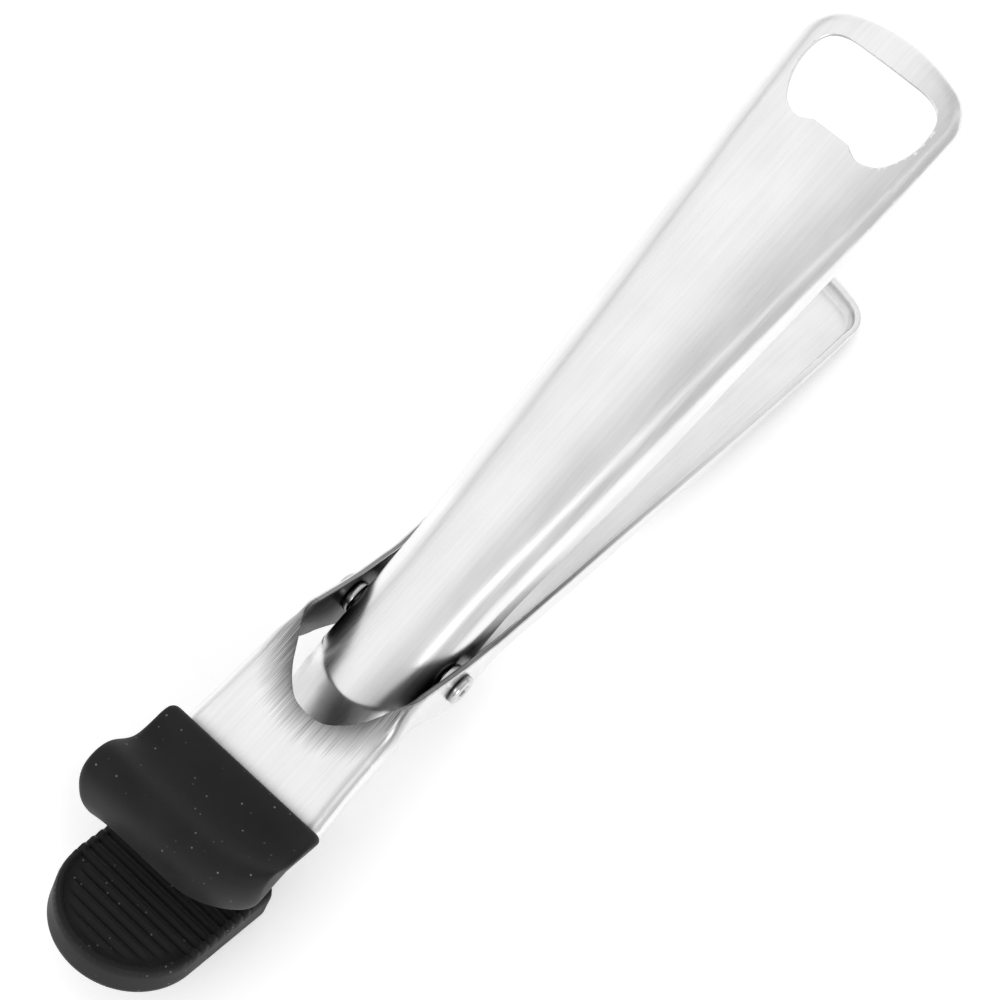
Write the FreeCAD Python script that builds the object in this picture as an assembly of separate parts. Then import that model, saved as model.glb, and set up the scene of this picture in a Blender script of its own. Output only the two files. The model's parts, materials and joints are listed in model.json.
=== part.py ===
import FreeCAD, Part

import math
import os

# Spring clip that grips the rim of a hot pan or bowl: two pressed steel levers that
# cross on one pivot, a silicone cover on each jaw, and a bottle opener in the upper handle.
# Millimetres.  The levers are drawn about the pivot axis (the Y axis), X runs from the
# jaws to the handles, and everything is moved at the end so that the clip stands on Z = 0.

SHEET = 1.2

# Pivot
SCREW_RADIUS = 1.5
BARREL_RADIUS = 2.1
BARREL_BORE = 1.55
BARREL_FLOOR = 2.0
HEAD_RADIUS = 3.0
HEAD_HEIGHT = 1.5
HEAD_ROUND = 0.6
SOCKET_RADIUS = 1.3
SOCKET_DEPTH = 1.0
SCREW_SHORT = 2.5
RUNNING_FIT = 0.05
EAR_OUTER = 13.6
EAR_INNER = EAR_OUTER - SHEET
LUG_OUTER = 10.8
SPACER_RADIUS = 3.3
SPACER_GAP = 0.1

# Inner lever: upper handle, neck and lower jaw
HANDLE_ANGLE = 19.4
HANDLE_TOP_AT_PIVOT = 8.3
HANDLE_END = 130.6
HANDLE_END_RADIUS = 42.0
HANDLE_CORNER = 8.0
HANDLE_STATIONS = [  # x, half width, wall depth, shoulder radius
    (-13.0, 10.8, 5.0, 3.0),
    (-4.0, 10.8, 7.0, 3.2),
    (8.0, 10.8, 11.5, 3.6),
    (22.0, 11.6, 12.0, 4.0),
    (52.0, 13.4, 12.0, 4.4),
    (78.0, 15.0, 10.0, 4.4),
    (100.0, 16.2, 7.5, 4.0),
    (120.0, 17.1, 5.0, 3.4),
    (134.0, 17.5, 4.0, 3.0),
]
CROWN = 1.4
NECK_ANGLE = 42.0
JAW_ANGLE = 24.7
KNEE_RADIUS = 8.0
KNEE_X = -39.5
KNEE_BOTTOM = -17.6
NECK_HALF_WIDTH = 10.8
JAW_STEEL_HALF_WIDTH = 11.2
JAW_STEEL_END = -74.5
JAW_STEEL_CORNER = 9.0
LUG_BOTTOM = -5.0
LUG = [(-12.5, 0.3), (-4.0, LUG_BOTTOM), (4.0, LUG_BOTTOM), (9.0, -0.6), (9.0, 7.5), (-4.0, 2.9)]
LUG_RADII = [0.5, 4.0, 4.0, 1.0, 0, 0]

# Bottle opener, measured along the handle from the pivot
OPENER_TOOTH = 116.0
OPENER_FAR = 131.8
OPENER_HALF_WIDTH = 13.6
OPENER_TOOTH_HALF = 4.0
OPENER_NOTCH_DEPTH = 1.4
OPENER_NOTCH_Y = 7.1
OPENER_FLANK = [(-0.2, 10.0), (2.1, 11.9), (5.6, 13.2)]  # past the tooth, |y|
OPENER_CORNER = 4.4

# Outer lever: lower handle, ears and upper jaw
FLOOR_START = 2.0
FLOOR_AT_START = -7.7
TAIL_X = 125.0
TAIL_BOTTOM = -17.6
TAIL_RIM_HEIGHT = 4.6
TAIL_HALF_WIDTH = 17.0
TAIL_END_RADIUS = 45.0
TAIL_CORNER = 6.0
TROUGH_SHOULDER = 2.6
RIM_BREAK_X = 13.4
RIM_BREAK_Z = -0.2
EAR = [(-16.5, 11.0), (-13.0, 13.0), (-7.4, 10.4), (-2.0, 7.0), (3.1, 4.2), (8.2, 2.0),
       (RIM_BREAK_X, RIM_BREAK_Z), (RIM_BREAK_X, -6.0), (3.6, -6.4), (-1.4, -8.6), (-4.8, -6.7),
       (-10.1, 1.0), (-15.5, 6.1), (-19.0, 9.0)]
EAR_RADII = [1.0, 2.0, 4.0, 4.0, 4.0, 4.0, 0, 0, 3.0, 2.5, 3.0, 4.0, 4.0, 0.5]
PLATE_BACK = (-13.5, 11.6)
PLATE_AT_COVER = (-38.3, 6.2)
PLATE_LOW = (-47.0, 5.6)
PLATE_TIP = (-57.0, 11.6)
PLATE_BEND = 12.0
PLATE_HALF_BACK = 14.6
PLATE_HALF_FRONT = 15.8
PLATE_HALF_COVERED = 14.0
WINDOW_HALF = 11.8
WINDOW_FRONT = -24.1

# Jaw covers
UPPER_PROFILE = [(-38.3, 2.0), (-38.3, 11.2), (-46.0, 10.7), (-50.0, 12.4), (-55.0, 18.6), (-60.0, 15.8),
                 (-61.8, 9.0), (-60.8, 2.8), (-50.0, 2.4)]
UPPER_RADII = [1.2, 1.8, 6.0, 8.0, 3.0, 4.0, 6.0, 1.4, 12.0]
UPPER_FRONT = [(-61.4, 6.0), (-61.8, 0.0)]
UPPER_HALF = 18.2
UPPER_CORNER = 3.0
UPPER_LIP = 9.0
UPPER_LIP_CENTRE = -52.0
LOWER_HALF = 14.5
LOWER_THICK = 7.0
LOWER_BACK = -47.5
LOWER_TIP_CENTRE = -66.8
LOWER_STEEL_DEPTH = 3.0
RIB_COUNT = 12
RIB_PITCH = 2.2
RIB_RADIUS = 0.75
RIB_MARGIN = 2.2
FIRST_RIB = 3.9

# Spring
WIRE_RADIUS = 0.6
COIL_RADIUS = 3.6
COIL_TURNS = 5
COIL_PITCH = 1.3
LEG_LENGTH = 17.0
UPPER_LEG_ANGLE = 27.0
LOWER_LEG_ANGLE = -11.0


def vec(x, y, z):
    return FreeCAD.Vector(x, y, z)


def rad(angle):
    return math.radians(angle)


def lerp(a, b, k):
    return a + (b - a) * k


def polygon_face(points):
    return Part.Face(Part.makePolygon(points + [points[0]]))


def prism_xz(points, y0, y1):
    """Solid between two Y planes over an outline of (x, z) points."""
    face = polygon_face([vec(x, y0, z) for x, z in points])
    return face.extrude(vec(0, y1 - y0, 0))


def prism_xy(points, z0=-60.0, z1=120.0):
    """Solid between two Z planes over an outline of (x, y) points."""
    face = polygon_face([vec(x, y, z0) for x, y in points])
    return face.extrude(vec(0, 0, z1 - z0))


def arc_points(cx, cy, radius, start, end, steps=10):
    """Points on an arc, angles in degrees."""
    angles = [lerp(start, end, i / steps) for i in range(steps + 1)]
    return [(cx + radius * math.cos(rad(a)), cy + radius * math.sin(rad(a))) for a in angles]


def mirrored(points):
    """Outline closed by its own mirror image in Y, from the +Y side to the -Y side."""
    return points + [(x, -y) for x, y in reversed(points)]


def cylinder_y(radius, y0, y1):
    return Part.makeCylinder(radius, y1 - y0, vec(0, y0, 0), vec(0, 1, 0))


def rounded_prism_xz(points, radii, y0, y1):
    """Like prism_xz, with an arc of the given radius at each corner."""
    outline = []
    count = len(points)
    for i, radius in enumerate(radii):
        here = FreeCAD.Vector(points[i][0], 0, points[i][1])
        before = FreeCAD.Vector(points[i - 1][0], 0, points[i - 1][1])
        after = FreeCAD.Vector(points[(i + 1) % count][0], 0, points[(i + 1) % count][1])
        if radius <= 0:
            outline.append((here.x, here.z))
            continue
        a = (before - here).normalize()
        b = (after - here).normalize()
        half = a.getAngle(b) / 2
        reach = radius / math.tan(half)
        centre = here + (a + b).normalize() * (radius / math.sin(half))
        start = here + a * reach - centre
        end = here + b * reach - centre
        sweep = start.getAngle(end)
        steps = max(3, int(math.degrees(sweep) / 8))
        for k in range(steps + 1):
            f = k / steps
            p = start * (math.sin((1 - f) * sweep) / math.sin(sweep))
            p = p + end * (math.sin(f * sweep) / math.sin(sweep))
            outline.append((centre.x + p.x, centre.z + p.z))
    return prism_xz(outline, y0, y1)


def handle_top(x):
    return HANDLE_TOP_AT_PIVOT + math.tan(rad(HANDLE_ANGLE)) * x


def arch_section(x, half, top, bottom, radius, crown):
    """Closed section in the plane at x: flat bottom, rounded shoulders, crowned top."""
    c = radius * (1 - math.sqrt(0.5))
    shoulder = top - crown
    left = Part.LineSegment(vec(x, -half, bottom), vec(x, -half, shoulder - radius))
    bend_a = Part.Arc(vec(x, -half, shoulder - radius), vec(x, -half + c, shoulder - c),
                      vec(x, -half + radius, shoulder))
    roof = Part.Arc(vec(x, -half + radius, shoulder), vec(x, 0, top), vec(x, half - radius, shoulder))
    bend_b = Part.Arc(vec(x, half - radius, shoulder), vec(x, half - c, shoulder - c),
                      vec(x, half, shoulder - radius))
    right = Part.LineSegment(vec(x, half, shoulder - radius), vec(x, half, bottom))
    base = Part.LineSegment(vec(x, half, bottom), vec(x, -half, bottom))
    return Part.Wire([g.toShape() for g in (left, bend_a, roof, bend_b, right, base)])


def trough_section(x, half, rim, bottom, radius):
    """Closed section in the plane at x: flat open top, rounded lower shoulders."""
    c = radius * (1 - math.sqrt(0.5))
    left = Part.LineSegment(vec(x, -half, rim), vec(x, -half, bottom + radius))
    bend_a = Part.Arc(vec(x, -half, bottom + radius), vec(x, -half + c, bottom + c),
                      vec(x, -half + radius, bottom))
    floor = Part.LineSegment(vec(x, -half + radius, bottom), vec(x, half - radius, bottom))
    bend_b = Part.Arc(vec(x, half - radius, bottom), vec(x, half - c, bottom + c),
                      vec(x, half, bottom + radius))
    right = Part.LineSegment(vec(x, half, bottom + radius), vec(x, half, rim))
    lid = Part.LineSegment(vec(x, half, rim), vec(x, -half, rim))
    return Part.Wire([g.toShape() for g in (left, bend_a, floor, bend_b, right, lid)])


def end_outline(start, end, half, end_radius, corner, inset=0.0):
    """Plan outline of a handle: straight sides, rounded corners, gently arced end."""
    w = half - inset
    r = corner - inset
    sag_centre = end - inset - (end_radius - inset)
    # centre of the corner arc: r inside the side, r inside the end arc
    reach = end_radius - inset - r
    cy = w - r
    cx = sag_centre + math.sqrt(reach * reach - cy * cy)
    tilt = math.degrees(math.atan2(cy, cx - sag_centre))
    side = [(start, w)] + arc_points(cx, cy, r, 90, tilt, 8)
    side += arc_points(sag_centre, 0, end_radius - inset, tilt, 0, 6)[1:]
    return side + [(x, -y) for x, y in reversed(side[:-1])]


def opener_outline():
    """Plan outline of the bottle opener: a tooth facing the tail, a notch at each side."""
    flat = math.cos(rad(HANDLE_ANGLE))
    tooth = OPENER_TOOTH * flat
    far = OPENER_FAR * flat
    side = [(tooth, 0.0), (tooth, OPENER_TOOTH_HALF)]
    side += [(tooth - OPENER_NOTCH_DEPTH * 0.6, OPENER_TOOTH_HALF + 1.4)]
    side += [(tooth - OPENER_NOTCH_DEPTH, OPENER_NOTCH_Y)]
    side += [(tooth + past * flat, y) for past, y in OPENER_FLANK]
    side += [(tooth + 8.5 * flat, OPENER_HALF_WIDTH)]
    r = OPENER_CORNER
    side += arc_points(far - r, OPENER_HALF_WIDTH - r, r, 90, 0, 6)
    return side + [(x, -y) for x, y in reversed(side)][:-1]


def strip_profile():
    """(x, z) outline of the sheet from the handle front down the neck and along the jaw."""
    knee = (KNEE_X, KNEE_BOTTOM + KNEE_RADIUS)
    neck = NECK_ANGLE
    jaw = JAW_ANGLE
    outer = arc_points(knee[0], knee[1], KNEE_RADIUS, 270 + neck, 270 - jaw, 10)
    inner = arc_points(knee[0], knee[1], KNEE_RADIUS - SHEET, 270 + neck, 270 - jaw, 10)
    jaw_run = outer[-1][0] - JAW_STEEL_END
    outer_end = (JAW_STEEL_END, outer[-1][1] + jaw_run * math.tan(rad(jaw)))
    inner_end = (outer_end[0] + SHEET * math.sin(rad(jaw)), outer_end[1] + SHEET * math.cos(rad(jaw)))
    # crest where the neck meets the handle
    slope = math.tan(rad(neck))
    rise = math.tan(rad(HANDLE_ANGLE))
    top = handle_top(0) - CROWN

    def meet(point, drop):
        x = (top - drop - point[1] + slope * point[0]) / (slope - rise)
        return (x, top - drop + rise * x)

    crest_in = meet(inner[0], 0.0)
    crest_out = meet(outer[0], SHEET / math.cos(rad(HANDLE_ANGLE)))
    end_in = (0.0, top)
    end_out = (0.0, top - SHEET / math.cos(rad(HANDLE_ANGLE)))
    upper = [end_in, crest_in] + inner + [inner_end]
    lower = [end_out, crest_out] + outer + [outer_end]
    return upper + list(reversed(lower))


def inner_lever():
    tan = math.tan(rad(HANDLE_ANGLE))
    outer = []
    inner = []
    for x, half, depth, radius in HANDLE_STATIONS:
        top = handle_top(x)
        outer.append(arch_section(x, half, top, top - depth, radius, CROWN))
        inner.append(arch_section(x, half - SHEET, top - SHEET, top - depth - 4, radius - SHEET * 0.8, CROWN))
    body = Part.makeLoft(outer, True, True)
    hollow = Part.makeLoft(inner, True, True)
    x0 = HANDLE_STATIONS[0][0]
    half = HANDLE_STATIONS[-1][1] + 0.2
    body = body.common(prism_xy(end_outline(x0 - 1, HANDLE_END, half, HANDLE_END_RADIUS, HANDLE_CORNER)))
    hollow = hollow.common(prism_xy(end_outline(x0 - 1, HANDLE_END, half, HANDLE_END_RADIUS,
                                                HANDLE_CORNER, SHEET)))
    shell = body.cut(hollow)
    # neck and jaw plate
    strip = prism_xz(strip_profile(), -20, 20)
    w = NECK_HALF_WIDTH
    j = JAW_STEEL_HALF_WIDTH
    r = JAW_STEEL_CORNER
    side = [(5.0, w), (-30.0, w), (-40.0, j), (JAW_STEEL_END + r, j)]
    side += arc_points(JAW_STEEL_END + r, j - r, r, 90, 180, 6)[1:]
    strip = strip.common(prism_xy(mirrored(side)))
    # pivot lugs
    lugs = []
    for y0 in (-LUG_OUTER, LUG_OUTER - SHEET):
        lugs.append(rounded_prism_xz(LUG, LUG_RADII, y0, y0 + SHEET))
    lever = shell.fuse([strip] + lugs)
    lever = lever.cut(prism_xy(opener_outline()))
    lever = lever.cut(cylinder_y(BARREL_RADIUS + RUNNING_FIT, -20, 20))
    return lever.removeSplitter()


def outer_lever():
    def floor_at(x):
        return lerp(FLOOR_AT_START, TAIL_BOTTOM, (x - FLOOR_START) / (TAIL_X - FLOOR_START))

    def rim_at(x):
        tail_rim = TAIL_BOTTOM + TAIL_RIM_HEIGHT
        return lerp(RIM_BREAK_Z, tail_rim, (x - RIM_BREAK_X) / (TAIL_X - RIM_BREAK_X))

    stations = [(FLOOR_START, EAR_OUTER, 4.4), (RIM_BREAK_X, EAR_OUTER, RIM_BREAK_Z),
                (50.0, 15.0, rim_at(50.0)), (99.0, 16.8, rim_at(99.0)),
                (TAIL_X + 3, 17.3, rim_at(TAIL_X + 3))]
    outer = [trough_section(x, w, rim, floor_at(x), TROUGH_SHOULDER) for x, w, rim in stations]
    inner = [trough_section(x, w - SHEET, rim + 6, floor_at(x) + SHEET, TROUGH_SHOULDER - SHEET * 0.8)
             for x, w, rim in stations]
    plan = end_outline(FLOOR_START - 1, TAIL_X, TAIL_HALF_WIDTH, TAIL_END_RADIUS, TAIL_CORNER)
    plan_in = end_outline(FLOOR_START - 1, TAIL_X, TAIL_HALF_WIDTH, TAIL_END_RADIUS, TAIL_CORNER, SHEET)
    trough = Part.makeLoft(outer, True, True).common(prism_xy(plan))
    trough = trough.cut(Part.makeLoft(inner, True, True).common(prism_xy(plan_in)))
    # ears at the sides of the pivot
    ears = [rounded_prism_xz(EAR, EAR_RADII, y0, y0 + SHEET) for y0 in (-EAR_OUTER, EAR_OUTER - SHEET)]
    # front plate with its curled tip
    top = [PLATE_BACK, PLATE_AT_COVER, PLATE_LOW, PLATE_TIP]
    low = [(x + (0.4 if i == 3 else 0), z - SHEET) for i, (x, z) in enumerate(top)]
    plate = rounded_prism_xz(top + list(reversed(low)), [0, 20.0, PLATE_BEND, 0, 0, PLATE_BEND, 20.0, 0],
                             -20, 20)
    side = [(PLATE_BACK[0], EAR_OUTER), (-17.0, PLATE_HALF_BACK), (-37.0, PLATE_HALF_FRONT),
            (-41.0, PLATE_HALF_COVERED), (-49.0, PLATE_HALF_COVERED)]
    side += arc_points(-49.0, PLATE_HALF_COVERED - 8, 8, 90, 180, 6)[1:]
    plate = plate.common(prism_xy(mirrored(side)))
    radius = WINDOW_HALF
    window = [(FLOOR_START, radius)] + arc_points(WINDOW_FRONT + radius, 0, radius, 90, 180, 10)
    plate = plate.cut(prism_xy(mirrored(window)[:-1], 0, 40))
    lever = trough.fuse(ears + [plate])
    lever = lever.cut(cylinder_y(BARREL_RADIUS + 0.02, -20, 20))
    return lever.removeSplitter()


def upper_jaw_cover(lever):
    solid = rounded_prism_xz(UPPER_PROFILE, UPPER_RADII, -25, 25)
    back = UPPER_PROFILE[0][0]
    r = UPPER_CORNER
    side = arc_points(back - r, UPPER_HALF - r, r, 0, 90, 6)
    side += arc_points(UPPER_LIP_CENTRE, UPPER_HALF - UPPER_LIP, UPPER_LIP, 90, 150, 8)
    side += UPPER_FRONT
    plan = prism_xy(side + [(x, -y) for x, y in reversed(side[:-1])])
    return solid.common(plan).cut(lever).removeSplitter()


def lower_jaw_cover(lever):
    """The cover is drawn lying flat along X, then tilted to the jaw's slope."""
    slope = rad(JAW_ANGLE)
    r = LOWER_HALF
    along = (LOWER_BACK - LOWER_TIP_CENTRE) / math.cos(slope)
    side = [(along, r - 1.5), (along - 1.5, r)] + arc_points(0, 0, r, 90, 180, 12)
    pad = prism_xy(side + [(x, -y) for x, y in reversed(side[:-1])], -LOWER_THICK, 0)
    ribs = []
    for i in range(RIB_COUNT):
        x = -r + FIRST_RIB + RIB_PITCH * i
        reach = r - 0.3
        if x < 0:
            reach = math.sqrt((r - RIB_MARGIN) ** 2 - x * x)
        rib = Part.makeCylinder(RIB_RADIUS, 2 * reach, vec(x, -reach, -RIB_RADIUS * 0.3), vec(0, 1, 0))
        ribs.append(rib)
    pad = pad.fuse(ribs)
    # the top face passes above the steel by the cover's thickness there
    knee_z = KNEE_BOTTOM + KNEE_RADIUS
    normal = (math.sin(slope), math.cos(slope))
    start = (KNEE_X - (KNEE_RADIUS - SHEET) * normal[0], knee_z - (KNEE_RADIUS - SHEET) * normal[1])
    base = start[1] + (start[0] - LOWER_TIP_CENTRE) * math.tan(slope)
    lift = LOWER_STEEL_DEPTH / math.cos(slope)
    pad.rotate(vec(0, 0, 0), vec(0, 1, 0), JAW_ANGLE)
    pad.translate(vec(LOWER_TIP_CENTRE, 0, base + lift))
    return pad.cut(lever).removeSplitter()


def pivot_barrel():
    end = -EAR_OUTER + 0.4
    tube = cylinder_y(BARREL_RADIUS, end, EAR_OUTER)
    head = cylinder_y(HEAD_RADIUS, EAR_OUTER, EAR_OUTER + HEAD_HEIGHT)
    rim = [e for e in head.Edges if e.BoundBox.YMin > EAR_OUTER + HEAD_HEIGHT - 0.01]
    head = head.makeFillet(HEAD_ROUND, rim[:1])
    bore = cylinder_y(BARREL_BORE, end - 1, EAR_OUTER - BARREL_FLOOR)
    return tube.fuse(head).cut(bore).removeSplitter()


def pivot_screw():
    face = -EAR_OUTER
    shank = cylinder_y(SCREW_RADIUS, face, EAR_OUTER - SCREW_SHORT)
    head = cylinder_y(HEAD_RADIUS, face - HEAD_HEIGHT, face)
    rim = [e for e in head.Edges if e.BoundBox.YMax < face - HEAD_HEIGHT + 0.01]
    head = head.makeFillet(HEAD_ROUND, rim[:1])
    socket = []
    for k in range(6):
        a = rad(60 * k)
        socket.append(vec(SOCKET_RADIUS * math.cos(a), face - HEAD_HEIGHT, SOCKET_RADIUS * math.sin(a)))
    recess = polygon_face(socket).extrude(vec(0, SOCKET_DEPTH, 0))
    return shank.fuse(head).cut(recess).removeSplitter()


def spacer(side):
    inner = LUG_OUTER + SPACER_GAP
    outer = EAR_INNER - SPACER_GAP
    y0, y1 = (inner, outer) if side > 0 else (-outer, -inner)
    return cylinder_y(SPACER_RADIUS, y0, y1).cut(cylinder_y(BARREL_RADIUS + RUNNING_FIT, y0 - 1, y1 + 1))


def torsion_spring():
    half = COIL_TURNS * COIL_PITCH / 2
    turns = []
    for i in range(COIL_TURNS + 1):
        y = -half + COIL_PITCH * i
        turns.append(Part.makeTorus(COIL_RADIUS, WIRE_RADIUS, vec(0, y, 0), vec(0, 1, 0)))
    core = cylinder_y(COIL_RADIUS + 0.3, -half, half).cut(cylinder_y(COIL_RADIUS - 0.3, -half - 1, half + 1))
    legs = []
    for y, tilt, side in ((-half, UPPER_LEG_ANGLE, 1), (half, LOWER_LEG_ANGLE, -1)):
        direction = vec(math.cos(rad(tilt)), 0, math.sin(rad(tilt)))
        start = vec(-side * COIL_RADIUS * direction.z, y, side * COIL_RADIUS * direction.x)
        start = start - direction * 0.4
        legs.append(Part.makeCylinder(WIRE_RADIUS * 0.97, LEG_LENGTH, start, direction))
    return core.fuse(turns + legs).removeSplitter()


def build():
    outer = outer_lever()
    inner = inner_lever()
    return {
        "outer_lever": outer,
        "inner_lever": inner,
        "upper_jaw_cover": upper_jaw_cover(outer),
        "lower_jaw_cover": lower_jaw_cover(inner),
        "pivot_barrel": pivot_barrel(),
        "pivot_screw": pivot_screw(),
        "left_spacer": spacer(1),
        "right_spacer": spacer(-1),
        "torsion_spring": torsion_spring(),
    }


def main():
    parts = build()
    box = Part.makeCompound(list(parts.values())).optimalBoundingBox()
    shift = vec(-(box.XMin + box.XMax) / 2, 0, -box.ZMin)
    os.makedirs("parts", exist_ok=True)
    for name, shape in parts.items():
        shape.translate(shift)
        shape.exportStep("parts/" + name + ".step")
        print(name, "solids", len(shape.Solids), "valid", shape.isValid(), "volume", round(shape.Volume, 1))
    print("pivot at", round(shift.x, 3), round(shift.z, 3))
    print("size", round(box.XLength, 2), round(box.YLength, 2), round(box.ZLength, 2))


main()
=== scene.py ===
import json
import math

import bmesh
import bpy
from mathutils import Matrix, Vector


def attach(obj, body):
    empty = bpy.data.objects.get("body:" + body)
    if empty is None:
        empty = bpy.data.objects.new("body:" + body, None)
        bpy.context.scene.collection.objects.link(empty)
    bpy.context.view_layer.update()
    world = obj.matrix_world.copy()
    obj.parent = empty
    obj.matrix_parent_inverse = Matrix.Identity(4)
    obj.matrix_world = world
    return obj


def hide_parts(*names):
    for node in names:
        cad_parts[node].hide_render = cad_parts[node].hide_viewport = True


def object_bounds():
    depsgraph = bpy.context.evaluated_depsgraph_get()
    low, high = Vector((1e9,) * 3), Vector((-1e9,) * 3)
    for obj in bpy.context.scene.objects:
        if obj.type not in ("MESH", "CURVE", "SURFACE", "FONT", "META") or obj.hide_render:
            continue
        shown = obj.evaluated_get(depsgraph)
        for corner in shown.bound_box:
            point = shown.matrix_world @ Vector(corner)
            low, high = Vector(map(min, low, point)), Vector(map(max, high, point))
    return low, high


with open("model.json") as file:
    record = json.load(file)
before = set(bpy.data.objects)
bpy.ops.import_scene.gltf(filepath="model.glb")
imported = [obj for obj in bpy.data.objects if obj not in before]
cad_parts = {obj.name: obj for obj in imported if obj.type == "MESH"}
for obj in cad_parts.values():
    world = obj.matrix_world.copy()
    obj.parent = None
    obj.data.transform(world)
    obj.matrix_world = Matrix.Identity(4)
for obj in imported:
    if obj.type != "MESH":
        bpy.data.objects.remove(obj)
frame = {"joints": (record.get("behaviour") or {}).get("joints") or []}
CAD_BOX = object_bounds()

# Everything below is drawn in millimetres about the pivot: X runs from the jaws to the
# handle tails, Y is the pivot's own direction, Z is up.
MM = 0.001
PIVOT = Vector(frame["joints"][0]["pos_m"])
OUTER_ARM, INNER_ARM = "outer_arm", "inner_arm"

SHEET = 1.2
EDGE_ROUND = 0.2
EDGE_RINGS = (0.06, 0.14)
STEEL_SHADE = 0.86
# painted shade: its strength round the window and on the ears' inner faces, and its reach in hollows
WINDOW_PAINTED_SHADE = 0.2
EAR_PAINTED_SHADE = 0.9
PAINTED_SHADE_REACH = 6.5
HALF_TURN = math.pi
QUARTER = math.pi / 2

# Upper handle: distances run along the handle from the pivot
RISE = math.radians(19.4)
HANDLE_TOP = 8.3
HANDLE_END = 138.1
FAR_RUN = 140.0
JAW_RUN = 60.0
HANDLE_END_RADIUS = 40.0
HANDLE_CORNER = 8.2
END_HALF = 17.6
END_DEPTH = 2.8
END_SHOULDER = 2.6
HANDLE_WIDTHS = [(-20, 10.8), (10, 10.8), (20, 11.3), (30, 12.0), (50, 13.3), (70, 14.6),
                 (90, 15.9), (110, 17.1), (129, END_HALF), (145, END_HALF)]
HANDLE_DEPTHS = [(14, 11.0), (35, 10.6), (55, 10.0), (65, 8.6), (80, 6.9), (97, 5.2),
                 (119, 3.5), (130, END_DEPTH), (145, END_DEPTH)]
HANDLE_SHOULDERS = [(-20, 4.6), (10, 4.4), (40, 4.4), (80, 4.2), (110, 3.4), (130, END_SHOULDER),
                    (145, END_SHOULDER)]
CROWN = 1.7
CREST = -16.8
CREST_SWEEP = 4.0
CREST_ROUND = 1.6
KNEE = (-38.3, -17.65)
KNEE_ROUND = 6.8
JAW_SLOPE = math.radians(24.7)
NECK_HALF = 9.9
JAW_START = -46.0
JAW_HALF = 11.2
JAW_CORNER = 9.0
JAW_LENGTH = 36.0
LUG_DROP = 12.4
PIN_CLEAR = 0.05

# Opener
TOOTH = 116.0
OPENER_FAR = 131.8
OPENER_SIDE = [(116.0, 4.0), (115.3, 5.2), (114.7, 7.1), (115.8, 10.0), (118.1, 11.9), (121.6, 13.3),
               (125.0, 13.75), (128.6, 13.3), (130.7, 11.7), (131.7, 8.8), (131.8, 5.0)]

# Lower handle, ears and front plate
SEAM = 5.0
SEAM_TOP = 3.3
SEAM_BOTTOM = -6.15
TAIL = 123.0
TAIL_RADIUS = 45.0
TAIL_CORNER = 6.4
TAIL_HALF = 17.0
TAIL_RIM = 4.1
TROUGH_FLOOR = [(-10, -7.4), (4, -7.4), (10.7, -7.4), (28, -10.4), (50, -11.9), (74, -13.6), (99, -15.8),
                (122, -17.3), (130, -17.35)]
TROUGH_RIM = [(-10, 5.0), (3.1, 4.1), (8.2, 2.0), (13.4, -0.2), (40, -3.3), (80, -8.0), (125, -13.3),
              (135, -14.0)]
TROUGH_WIDTHS = [(-10, 13.6), (8, 13.6), (14, 13.6), (28, 14.1), (50, 15.0), (74, 16.0), (99, 16.8),
                 (114.7, TAIL_HALF), (130, TAIL_HALF)]
TROUGH_SHOULDER = 2.8
TIGHT_SHOULDER = 1.25
PLATE_TOP = [(-60, 13.0), (-52, 6.6), (-46, 5.0), (-38.3, 6.2), (-28, 8.5), (-20, 10.2), (-12.6, 12.0),
             (-6, 13.0), (8, 13.0)]
SIDE_RISE = [(-24, 0.0), (-19, 0.2), (-12.6, 1.6), (-6, 1.6), (8, 1.6)]
PLATE_WIDTHS = [(-60, 13.8), (-44, 14.0), (-39.5, 15.8), (-30, 15.4), (-18, 14.8), (-13, 13.7), (-9, 13.6),
                (8, 13.6)]
PLATE_SHOULDER = 2.6
PLATE_END = -57.0
PLATE_CORNER = 7.0
WINDOW = [(-24.5, 0.0), (-23.9, 3.4), (-21.8, 6.2), (-19.4, 8.3), (-17.0, 9.8), (-14.6, 11.2), (-12.6, 12.6)]
EAR_TOP = [(-12.6, 13.3), (-7.4, 10.4), (-2.0, 7.0), (3.1, 4.1), (SEAM, SEAM_TOP), (8.2, 2.0)]
EAR_BOTTOM = [(8.2, SEAM_BOTTOM), (SEAM, SEAM_BOTTOM), (3.4, -6.9), (1.0, -8.2), (-1.6, -8.6), (-4.4, -6.7),
              (-7.0, -3.4), (-10.1, 0.2), (-15.5, 5.2), (-24.0, 5.2), (-38.3, 3.2), (-50.0, 3.0)]

# Pivot
TURNED_SIDES = 48
BARREL = 2.1
BARREL_BORE = 1.55
BARREL_END = 13.2
BARREL_DIMPLE = 1.0
SCREW = 1.5
SOCKET = 1.3
HEAD = 3.0
HEAD_TALL = 1.5
HEAD_ROUND = 0.6
EAR_FACE = 13.6
LUG_FACE = 10.8
SPACER = 3.3
SPACER_BORE = 2.15
SPACER_GAP = 0.1

# Spring
WIRE = 0.6
COIL = 3.6
COIL_TURNS = 5
COIL_EXTRA = 0.6
COIL_PITCH = 1.3
LEG_LENGTH = 17.0
UPPER_LEG = math.radians(27)
LOWER_LEG = math.radians(-11)

# Studio sky: brightness against how far a reflection leans to the left side of the clip
SKY_BANDS = [(-1.0, 0.5), (-0.86, 0.55), (-0.62, 0.9), (-0.42, 0.6), (-0.2, 0.62), (0.14, 1.08), (0.7, 1.02),
             (0.84, 0.6), (0.96, 1.0)]

# Camera: its place from the pivot, the way it looks back along, and its top
LENS = 81.91
CAMERA_PLACE = (-117.39, -94.95, 383.07)
CAMERA_BACK = (-0.35407, -0.23803, 0.90442)
CAMERA_UP = (0.64963, 0.63308, 0.42094)

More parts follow.
